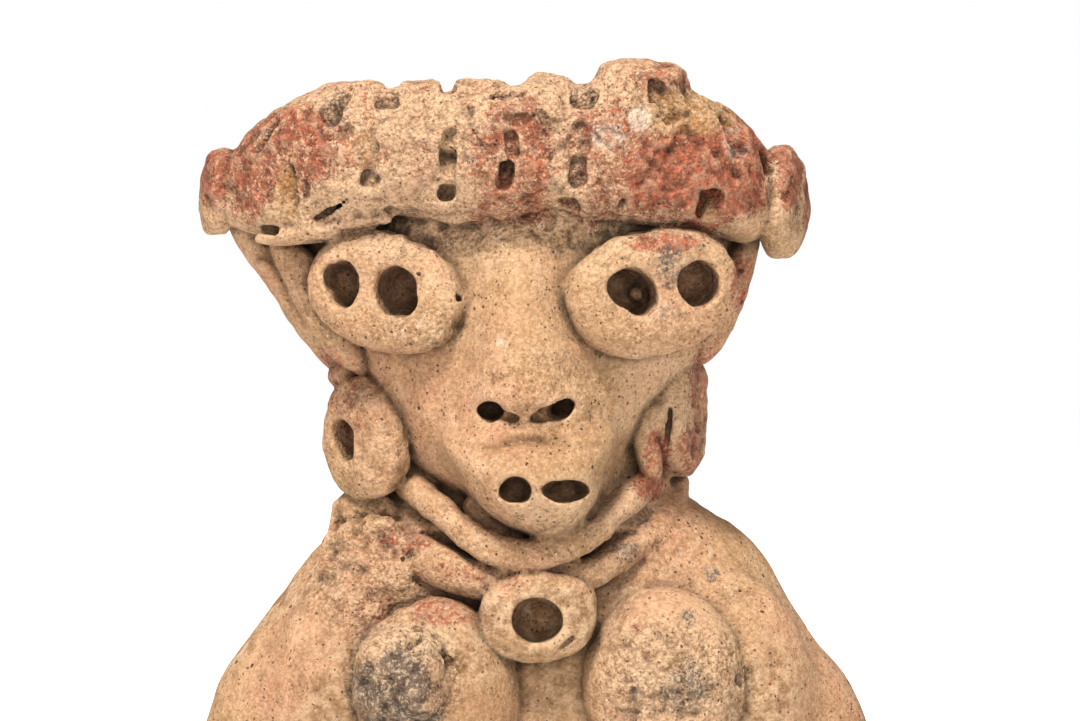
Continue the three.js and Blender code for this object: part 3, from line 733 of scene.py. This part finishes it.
# %% [markdown]
# Colour on such a figure follows its history: red slip that was brushed on and has worn off the high
# places, soot from the fire, chalky lime and ochre from the soil, clay that fired paler on the headdress,
# and dirt in every hollow. Light and shade are painted in as well: paler clay where light falls on tops
# and on the right, darker tan on faces turned down, and painted shade in the hollows and in a few gaps.
# Each is a value from 0 to 1 that is painted onto the mesh's points, as soft oval patches. The material
# breaks their edges up.
# %% Paint the patches onto the points
PATCHES = {
    "slip": [
        (15.5, 64.6, 15, 11, 1.0),
        (20.8, 68.5, 4.5, 9, 0.85),
        (-2.5, 66.5, 9, 13, 0.62),
        (6, 66, 10, 13, 0.5),
        (8, 68.8, 9, 2.6, 0.8),
        (12.5, 74, 7, 5, 0.6),
        (-26, 66.8, 12, 10, 0.72),
        (-29, 65, 5, 10, 0.7),
        (-20, 67, 10, 6, 0.42),
        (-33, 64.8, 4.6, 6.5, 0.85),
        (25.2, 65, 3, 7, 0.85),
        (27.6, 62, 2, 9, 0.85),
        (-3, 60.7, 9, 3, 0.6),
        (12.5, 57.7, 8, 2.2, 0.75),
        (-20, 41.5, 7, 7, 0.34),
        (17, 43.5, 3.4, 9, 0.7),
        (15.5, 37, 3, 6, 0.6),
        (11.8, 36.6, 2.6, 6, 0.62),
        (10.8, 33.6, 3.2, 3.6, 0.72),
        (-13.5, 28, 6, 3, 0.5),
        (-7.5, 25, 8, 2, 0.34),
        (-10, 21, 8, 3, 0.52),
        (-3.5, 23.5, 4, 2.4, 0.36),
        (-21.5, 45, 3, 5, 0.55),
        (20.5, 54, 3, 7, 0.6),
        (-17.5, 20.5, 7, 6, 0.3),
        (9.5, 19.6, 2.4, 1.6, 0.5),
    ],
    # Grey soot from the fire on the nipple, the right breast and the slot floors; the patches just under the
    # headdress's rim beside the left eye and under the upper coil on the right are painted shade.
    "soot_and_shade": [
        (-14, 13.2, 9.5, 9, 0.85),
        (-13.5, 10.8, 8, 4.5, 1.0),
        (12.9, 55.6, 3.4, 5, 0.62),
        (12.8, 50.6, 5, 2.4, 0.45),
        (14.5, 13.5, 6, 6, 0.6),
        (15.3, 13.4, 2, 2.2, 0.95),
        (14.6, 20.4, 2.4, 2, 0.6),
        (17.4, 24.6, 1.6, 1.8, 0.7),
        (8.3, 27, 4.4, 2.4, 0.6),
        (10.6, 30, 2.2, 3.6, 0.45),
        (-9.8, 57.8, 3.4, 2, 0.42),
        (-14, 50.5, 4, 1.4, 0.5),
        (-20.2, 71.2, 3, 5, 0.5),
        (-27.8, 68, 2.4, 4, 0.5),
        (-14.8, 71.8, 2.4, 2.6, 0.45),
        (4.4, 72.6, 3.4, 3, 0.5),
        (-4.6, 67.4, 3, 4, 0.32),
        (27, 60.5, 4, 6, 0.35),
        (3.7, 64, 2, 3, 0.4),
        (-22, 11, 6, 4, 0.2),
    ],
    "chalk": [
        (10.0, 70.1, 2.6, 3, 0.85),
        (6.8, 68.4, 4, 3, 0.66),
        (9.2, 67.6, 6, 4, 0.4),
        (-3.5, 48, 2, 3, 0.42),
        (16, 27.5, 6, 8, 0.34),
        (11, 12, 8, 7, 0.34),
        (19.6, 67.6, 3, 4, 0.5),
        (-11.5, 48.8, 7, 3, 0.4),
        (-6, 30, 10, 3, 0.2),
    ],
    # Painted light: paler on the tops of the eyes and the nipple, on the right cheek, chin, right coil and
    # right breast, and on the headdress, whose clay is also paler.
    "light_and_pale_clay": [
        (-4, 67, 68, 22, 0.6),
        (13, 60.5, 22, 4, 0.5),
        (12, 43, 9, 16, 0.45),
        (1.5, 30.4, 10, 4.4, 0.5),
        (8, 31.6, 7, 5, 0.6),
        (-13, 18.2, 9, 4, 0.9),
        (13, 15, 15, 14, 0.4),
        (-15, 57.6, 12, 4, 0.5),
        (12, 57.8, 12, 3, 0.4),
    ],
    # Painted shade, as darker tan: under the nose, along the lower edges of the eyes, on the pendant's lower
    # half, between the breasts, between the coils and lightly down the nose.
    "tan": [
        (0, 36.6, 11, 4.4, 0.7),
        (-15, 48.6, 11, 3.4, 0.5),
        (11, 48.6, 13, 3.4, 0.6),
        (-0.2, 18.4, 12, 8, 0.8),
        (-6, 14, 7, 12, 0.5),
        (0, 46, 6, 20, 0.25),
        (-1, 27.5, 16, 3.4, 0.4),
    ],
    "ochre": [
        (14.6, 71, 8, 5, 1.0),
        (12.2, 70.8, 3.6, 4, 1.0),
        (-25.4, 63, 2.4, 7, 0.8),
        (-17.4, 67, 2.6, 6, 0.45),
        (16.8, 61, 2, 3, 0.8),
        (-9.2, 66, 2, 6, 0.5),
        (-26.5, 26, 4, 5, 0.5),
        (17.5, 28, 7, 6, 0.4),
    ],
}
FRONT_ONLY = (3.0, -3.0)
SLIP_ABOVE, STAIN_BELOW = 63.5, 27


def sample(grid, points, coarse=1):
    """Reads a grid at free points, blending its eight nearest values."""
    place = np.clip((points - low) / (STEP * coarse), 0, np.array(grid.shape) - 1.001)
    cell = place.astype(int)
    share = place - cell
    total = 0.0
    for i, j, k in np.ndindex(2, 2, 2):
        weight = np.prod(np.where((i, j, k), share, 1 - share), 1)
        total = total + weight * grid[tuple((cell + (i, j, k)).T)]
    return total


skin = np.empty(len(figure.data.vertices) * 3, np.float32)
figure.data.vertices.foreach_get("co", skin)
skin = skin.reshape(-1, 3) / MM
x, y, z = skin.T
facing = np.clip((FRONT_ONLY[0] - y) / (FRONT_ONLY[0] - FRONT_ONLY[1]), 0, 1)
blur = sample(noise(1.7, 51), skin)
smudge = sample(noise(4.2, 52), skin)
painted = {}
for name, patches in PATCHES.items():
    value = np.zeros(len(skin))
    for patch in patches:
        right, up, wide, high, strength = patch
        distance = np.hypot((x - right) / (wide / 2), (z - up) / (high / 2)) + 0.22 * blur
        value = np.maximum(value, strength * soft_edge(distance, 0.35))
    painted[name] = value * facing
on_headdress = soft_edge((SLIP_ABOVE - z) / 3 + 1, 0.5) * 0.3
painted["slip"] = np.maximum(painted["slip"], on_headdress * (0.75 + 0.5 * smudge))
torso = np.clip((STAIN_BELOW - z) / 4, 0, 1)
painted["stain"] = torso * np.clip(0.55 + 0.6 * smudge, 0, 1)
painted["crumble"] = worst(x, z, CRUMBLY) * facing
print("patches painted:", {name: round(float(v.mean()), 3) for name, v in painted.items()})


# %% [markdown]
# Dirt gathers where the surface is hollow, and the colour is darkened there as painted shade too. The
# distance field shows that directly: its average over a small neighbourhood is below zero in a hollow and
# above zero on an edge. A narrow average finds cracks and worn edges, and a wide one finds the insides of
# the holes.
# %% Hollows and edges
def averaged(grid, reach):
    for axis in range(3):
        rows = grid.shape[axis]
        padded = np.pad(grid, [(reach, reach) if i == axis else (0, 0) for i in range(3)], mode="edge")
        grid = sum(padded.take(range(i, i + rows), axis) for i in range(2 * reach + 1)) / (2 * reach + 1)
    return grid


NARROW, WIDE = 0.5, 1.8
DEEP_HOLLOW, DEEP_CREASE = 0.8, 0.14
COARSE = 2
narrow_field = averaged(np.clip(clay, -0.8, 0.8), max(1, round(NARROW / STEP)))
coarse_clay = np.clip(clay[::COARSE, ::COARSE, ::COARSE], -1.6, 1.6)
wide_field = averaged(coarse_clay, max(1, round(WIDE / STEP / COARSE)))
standing_out = sample(narrow_field, skin)
hollow = -sample(wide_field, skin, COARSE)
painted["hollow"] = np.clip(hollow / DEEP_HOLLOW, 0, 1)
painted["crease"] = np.clip(-standing_out / DEEP_CREASE, 0, 1)
painted["edge"] = np.clip(standing_out / DEEP_CREASE, 0, 1)
for name, value in painted.items():
    layer = figure.data.attributes.new(name, "FLOAT", "POINT")
    layer.data.foreach_set("value", np.clip(value, 0, 1).astype(np.float32))
print("hollows:", [round(float(v), 3) for v in np.percentile(hollow, (5, 50, 95, 99))])
print("creases:", [round(float(v), 3) for v in np.percentile(standing_out, (1, 5, 50, 95, 99))])


# %% [markdown]
# Shader maths reads best as ordinary expressions. A small class wraps a node's output, and each operator
# adds the Math node that does it.
# %% Shader values as expressions
class Signal:
    def __init__(self, finish, socket):
        self.finish, self.socket = finish, socket

    def maths(self, operation, first, second):
        return self.finish.node("ShaderNodeMath", {"operation": operation}, {0: first, 1: second})

    def __add__(self, other):
        return self.maths("ADD", self, other)

    def __mul__(self, other):
        return self.maths("MULTIPLY", self, other)

    def __sub__(self, other):
        return self.maths("SUBTRACT", self, other)

    def __rsub__(self, other):
        return self.maths("SUBTRACT", other, self)

    def clamped(self):
        return self.finish.node("ShaderNodeClamp", {}, {"Value": self})

    def above(self, level, softness=0.1):
        """1 where the value is above the level, 0 below it, with a soft edge between."""
        return ((self - level) * (0.5 / softness) + 0.5).clamped()

    __radd__, __rmul__ = __add__, __mul__


class Finish:
    """A node material with one method for every kind of node."""

    def __init__(self, name):
        self.material = bpy.data.materials.new(name)
        self.material.use_nodes = True
        self.tree = self.material.node_tree
        self.shader = self.tree.nodes["Principled BSDF"]

    def node(self, kind, settings, values, output=0):
        made = self.tree.nodes.new(kind)
        for key, value in settings.items():
            setattr(made, key, value)
        for key, value in values.items():
            self.feed(made.inputs[key], value)
        return Signal(self, made.outputs[output])

    def feed(self, socket, value):
        if isinstance(value, Signal):
            self.tree.links.new(value.socket, socket)
        elif isinstance(value, tuple) and len(value) == 3 and socket.type == "RGBA":
            socket.default_value = (*value, 1)
        else:
            socket.default_value = value

    def painted(self, name):
        return self.node("ShaderNodeAttribute", {"attribute_name": name}, {}, "Fac")

    def mix(self, first, second, share, blend="MIX"):
        settings = {"data_type": "RGBA", "blend_type": blend, "clamp_factor": True}
        return self.node("ShaderNodeMix", settings, {0: share, 6: first, 7: second}, 2)


# %% [markdown]
# All textures are measured in the figure's own space, in millimetres, so that a speck of grit has its
# real size. Noise gives clouds, and a Voronoi texture gives separate grains: its colour is a random value
# for each cell, so it decides which cells hold a grain at all.
# %% Clay textures
clay_finish = Finish("fired_clay")
space = clay_finish.node("ShaderNodeTexCoord", {}, {}, "Object")
in_mm = clay_finish.node("ShaderNodeVectorMath", {"operation": "MULTIPLY"}, {0: space, 1: (1 / MM,) * 3})
SHAKE = 0.4
shake = clay_finish.node("ShaderNodeTexNoise", {}, {"Vector": in_mm, "Scale": 1 / SHAKE, "Detail": 2.0}, 1)
shaking = {0: shake, 1: (SHAKE,) * 3, 2: in_mm}
shaken = clay_finish.node("ShaderNodeVectorMath", {"operation": "MULTIPLY_ADD"}, shaking)


def shifted(vector, seed):
    offset = (seed * 13.7, seed * 7.1, seed * 3.3)
    return clay_finish.node("ShaderNodeVectorMath", {"operation": "ADD"}, {0: vector, 1: offset})


def cloud(size, seed, detail=2.0, roughness=0.5):
    values = {"Vector": shifted(in_mm, seed), "Scale": 1 / size, "Detail": detail, "Roughness": roughness}
    return clay_finish.node("ShaderNodeTexNoise", {}, values, 0)


def cells(spacing, seed):
    """Random values of the cells of a Voronoi texture, and the distance to each cell's middle."""
    values = {"Vector": shifted(shaken, seed), "Scale": 1 / spacing}
    distance = clay_finish.node("ShaderNodeTexVoronoi", {"feature": "F1"}, values, "Distance")
    random = Signal(clay_finish, distance.socket.node.outputs["Color"])
    first = clay_finish.node("ShaderNodeSeparateColor", {}, {0: random}, 0)
    return distance, first, Signal(clay_finish, first.socket.node.outputs[1])


def grains(spacing, seed, share, radius):
    """Separate ragged grains: 1 in a grain, 0 between. The share is how many cells hold one."""
    distance, chosen, size = cells(spacing, seed)
    reach = size * (0.75 * radius) + 0.25 * radius
    return ((reach - distance) * (3 / radius) + 0.5).clamped() * chosen.above(1 - share, 0.01)


# %% [markdown]
# The clay itself is a warm buff that drifts to peach, tan and brown, and it is paler on the headdress. It
# is painted paler where light falls on tops and on the right, which is painted light, and darker tan on
# faces turned down, which is painted shade. Slip, soot, ochre and lime lie over it, and a few soot patches
# are painted shade. Each of those painted patches is added to a cloud and cut at a level, so that its edge
# breaks into flecks as worn slip does.
# %% Clay colours
BUFF, PEACH, PALE = (0.249, 0.16, 0.0877), (0.275, 0.155, 0.0946), (0.361, 0.262, 0.172)
TAN, BROWN, UMBER = (0.194, 0.114, 0.0568), (0.125, 0.0705, 0.0361), (0.0155, 0.00946, 0.00516)
SLIP, BRIGHT_SLIP, DARK_SLIP = (0.163, 0.0499, 0.0275), (0.267, 0.0688, 0.0361), (0.0645, 0.0224, 0.0155)
DARK_GREY, LIME, FILM = (0.0516, 0.0482, 0.0464), (0.378, 0.318, 0.258), (0.163, 0.112, 0.086)
OCHRE, RUST = (0.241, 0.138, 0.0516), (0.086, 0.0206, 0.0103)
mix = clay_finish.mix
coarse, middle_cloud, fine = cloud(13, 1), cloud(3.2, 2, 3), cloud(0.9, 3, 3, 0.6)
tooth = cloud(0.24, 4, 2, 0.6)
grit = cells(0.17, 13)[1]
colour = mix(BUFF, PEACH, coarse.above(0.5, 0.14))
colour = mix(colour, PALE, middle_cloud.above(0.58, 0.14) * 0.35)
colour = mix(colour, TAN, cloud(1.9, 5, 3).above(0.56, 0.12) * 0.5)
# Painted light and painted shade: the first layer makes lit tops and the paler headdress lighter, the second
# makes faces turned down darker tan.
colour = mix(colour, PALE, clay_finish.painted("light_and_pale_clay") * 0.75)
colour = mix(colour, TAN, clay_finish.painted("tan") * 0.7)
stain = clay_finish.painted("stain")
colour = mix(colour, BROWN, (cloud(2.6, 6, 4, 0.62) + stain * 0.2).above(0.64, 0.09) * stain * 0.7)
colour = mix(colour, PALE, (cloud(1.5, 7, 3) + stain * 0.1).above(0.6, 0.08) * stain * 0.6)

# %% Slip, ochre, lime, and soot with some painted shade
slip = clay_finish.painted("slip")
fleck = cloud(2.4, 8, 5, 0.68)
worn = cloud(0.6, 9, 4, 0.72)
broken = (fleck - 0.5) * 1.5 + (worn - 0.5) * 1.9 + (grit - 0.5) * 0.5
slip_mask = (slip + broken).above(0.55, 0.07) * slip.above(0.12, 0.1)
slip_colour = mix(SLIP, BRIGHT_SLIP, cloud(0.9, 10, 3).above(0.54, 0.1))
slip_colour = mix(slip_colour, DARK_SLIP, worn.above(0.58, 0.1) * 0.75)
colour = mix(colour, PEACH, slip.above(0.3, 0.2) * 0.3)
film_mask = (cloud(1.8, 14, 4, 0.6) + slip * 0.12).above(0.6, 0.08) * slip.above(0.3, 0.2)
colour = mix(colour, FILM, film_mask * 0.6)
colour = mix(colour, slip_colour, slip_mask * 0.92)
ochre = clay_finish.painted("ochre")
colour = mix(colour, mix(OCHRE, TAN, fine.above(0.5, 0.1)), (ochre + broken * 0.7).above(0.5, 0.14) * 0.75)
chalk = clay_finish.painted("chalk")
veil = chalk + (cloud(1.6, 11, 4, 0.65) - 0.5) * 1.1 + (worn - 0.5) * 0.8
colour = mix(colour, LIME, veil.above(0.56, 0.16) * chalk.above(0.1, 0.1) * 0.7)
# Soot, and in a few gaps painted shade, darkens the clay towards grey.
soot_and_shade = clay_finish.painted("soot_and_shade")
soot_and_shade_spread = soot_and_shade + (cloud(1.2, 12, 5, 0.7) - 0.5) * 1.5 + (grit - 0.5) * 0.5
soot_and_shade_mask = soot_and_shade_spread.above(0.6, 0.12) * soot_and_shade.above(0.08, 0.08)
colour = mix(colour, DARK_GREY, soot_and_shade_mask * 0.85)

# %% [markdown]
# The clay was mixed with grit, which shows as dark, rusty and white specks, and where grit or straw fell
# out or burnt away it left pits, dark inside. Pale and brown flecks finer than grit cover the whole skin as
# painted light and shade of its fine grain.
# %% Grit and pits
crumbly = clay_finish.painted("crumble")
crowd = cloud(5.5, 26, 2).above(0.5, 0.12)
dark_grit, rust_grit = grains(0.6, 21, 0.2, 0.22), grains(0.8, 22, 0.24, 0.2)
white_grit = grains(1.0, 23, 0.16, 0.14)
pits, small_pits = grains(1.9, 24, 0.3, 0.15), grains(0.45, 25, 0.34, 0.3)
colour = mix(colour, grit * 0.3 + 0.85, 1.0, "MULTIPLY")
grain_light_and_shade = cloud(0.42, 30, 3, 0.7)
# Painted light and shade of the fine grain: paler flecks for lit grain, brown ones for the shade between.
colour = mix(colour, PALE, grain_light_and_shade.above(0.56, 0.05) * (0.35 + 0.3 * crumbly) * (1 - slip_mask * 0.65))
colour = mix(colour, BROWN, (1 - grain_light_and_shade).above(0.57, 0.04) * (0.3 + 0.3 * crumbly))
colour = mix(colour, DARK_GREY, dark_grit * 0.75)
colour = mix(colour, RUST, rust_grit * 0.8)
colour = mix(colour, LIME, white_grit * 0.7)
colour = mix(colour, UMBER, pits * 0.85)
colour = mix(colour, UMBER, small_pits * (0.25 + 0.6 * crowd))

# %% [markdown]
# Last come the dirt and painted shade in creases and holes, and the paler clay where edges have been rubbed.
# %% Dirt and painted shade, worn edges and the finished colour
hollow_paint, crease, edge = (clay_finish.painted(name) for name in ("hollow", "crease", "edge"))
colour = mix(colour, PALE, (edge * (0.3 + 0.6 * fine)).clamped() * 0.5)
# Painted shade: creases and the insides of holes darken towards umber, for the dirt and the shade that lie
# in them.
colour = mix(colour, UMBER, (crease * (0.2 + 0.8 * fine)).clamped() * 0.85)
colour = mix(colour, UMBER, (hollow_paint * 2.0 - 1.1).clamped() * 0.8)
clay_finish.feed(clay_finish.shader.inputs["Base Color"], colour)
clay_finish.feed(clay_finish.shader.inputs["Roughness"], 0.93 - slip_mask * 0.14)
clay_finish.shader.inputs["Specular IOR Level"].default_value = 0.15

# %% Bump, as a height in millimetres
chips, chip_random = cells(0.5, 31)[:2]
height = tooth * 0.13 + fine * (0.12 + 0.2 * crumbly) - small_pits * 0.08
height = height + crumbly * (chip_random * 0.14 - chips * 0.26)
bump = clay_finish.node("ShaderNodeBump", {}, {"Strength": 1.0, "Distance": MM, "Height": height})
clay_finish.feed(clay_finish.shader.inputs["Normal"], bump)
figure.data.materials.append(clay_finish.material)
print("clay material:", len(clay_finish.tree.nodes), "nodes")

# %% [markdown]
# The piece stands for the model's one solid and rides on its one body.
# %% Attach the piece
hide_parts("figure")
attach(figure, "root")

# %% [markdown]
# The camera stands straight in front at the height of the photograph's middle, far back with a long
# lens, because the picture shows almost no perspective. One pixel of the 1080 x 721 frame is a tenth of a
# millimetre on the face.
# %% Camera
PIXEL = 0.1
PICTURE = (1080, 721)
FACE_PLANE = -13.0
DISTANCE = 620.0
PICTURE_BOTTOM = 10.0
camera = bpy.data.cameras.new("camera")
camera.sensor_width = 36
camera.lens = camera.sensor_width * DISTANCE / (PICTURE[0] * PIXEL)
camera.clip_start, camera.clip_end = 0.01, 50
viewer = bpy.data.objects.new("camera", camera)
viewer.location = (0, (FACE_PLANE - DISTANCE) * MM, (PICTURE_BOTTOM + PICTURE[1] * PIXEL / 2) * MM)
viewer.rotation_euler = (math.pi / 2, 0, 0)
bpy.context.scene.collection.objects.link(viewer)
bpy.context.scene.camera = viewer

# %% [markdown]
# The photograph's ground is pure white, from a studio with white all round. A white floor under an even
# white sky gives that, because the floor is then as bright as the sky and no horizon shows. A soft light
# high in front, a little to the left, models the face, and a weak one low on the right lifts its shadows.
# The view's gamma gives the shadows the depth that the photograph has.
# %% Floor and light
bpy.ops.mesh.primitive_plane_add(size=12, location=(0, 0, 0))
floor = bpy.context.object
floor.name = "floor"
paper = Finish("paper")
for name, value in (("Base Color", (1, 1, 1)), ("Roughness", 1.0), ("Specular IOR Level", 0.0)):
    paper.feed(paper.shader.inputs[name], value)
floor.data.materials.append(paper.material)
AIM = (0, 0, 0.045)


def soft_light(name, place, size, power):
    light = bpy.data.lights.new(name, "AREA")
    light.size, light.energy = size, power
    lamp = bpy.data.objects.new(name, light)
    lamp.location = place
    lamp.rotation_euler = (Vector(AIM) - Vector(place)).to_track_quat("-Z", "Y").to_euler()
    bpy.context.scene.collection.objects.link(lamp)


PHOTO_CONTRAST = 0.8
soft_light("key", (-0.14, -0.42, 0.8), 0.2, 17.5)
soft_light("fill", (0.14, -0.9, 0.2), 0.4, 3)
sky = bpy.data.worlds.new("sky")
sky.use_nodes = True
sky.node_tree.nodes["Background"].inputs["Color"].default_value = (1, 1, 1, 1)
sky.node_tree.nodes["Background"].inputs["Strength"].default_value = 1.0
bpy.context.scene.world = sky
bpy.context.scene.view_settings.view_transform = "Standard"
bpy.context.scene.view_settings.gamma = PHOTO_CONTRAST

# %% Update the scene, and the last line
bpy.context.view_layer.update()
print("whole script:", round(time.time() - started, 1), "s")
